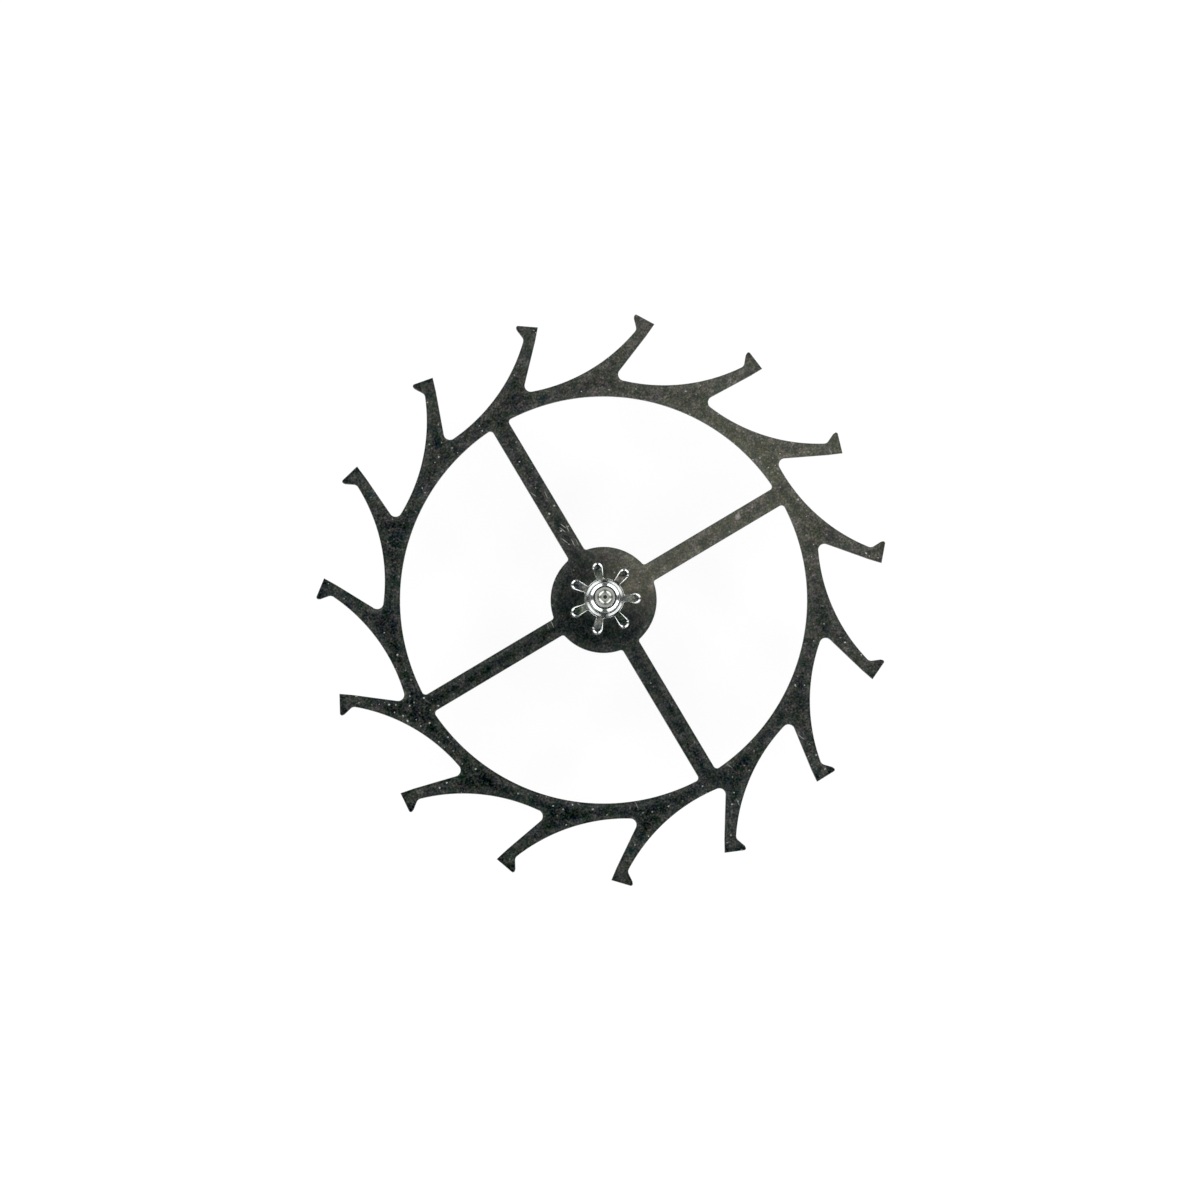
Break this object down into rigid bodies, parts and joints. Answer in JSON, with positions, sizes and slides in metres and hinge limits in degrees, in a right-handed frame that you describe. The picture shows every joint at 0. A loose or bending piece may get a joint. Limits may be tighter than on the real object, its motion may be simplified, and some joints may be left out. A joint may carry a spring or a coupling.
{
  "type": "lever escapement escape wheel",
  "caption": "Escape wheel of a small watch: a flat steel wheel with club-shaped teeth, straight arms and a round hub, pressed and riveted on a leafed pinion with domed pivots.",
  "frame": {"origin": "on the axis, at the shoulder of the lower pivot, where it meets the arbor", "axes": "+Z along the arbor from the wheel towards the pinion leaves, +X along the middle of one arm, +Y along the next arm, counter-clockwise seen from +Z"},
  "size_m": [0.0046, 0.0046, 0.0022],
  "materials": {
    "wheel_steel": "dark steel, ground and polished flat, with fine scratches",
    "pinion_steel": "hardened steel, burnished bright on the turned faces"
  },
  "bodies": {
    "root": {"escape_wheel": "wheel_steel", "escape_pinion": "pinion_steel"}
  },
  "joints": []
}
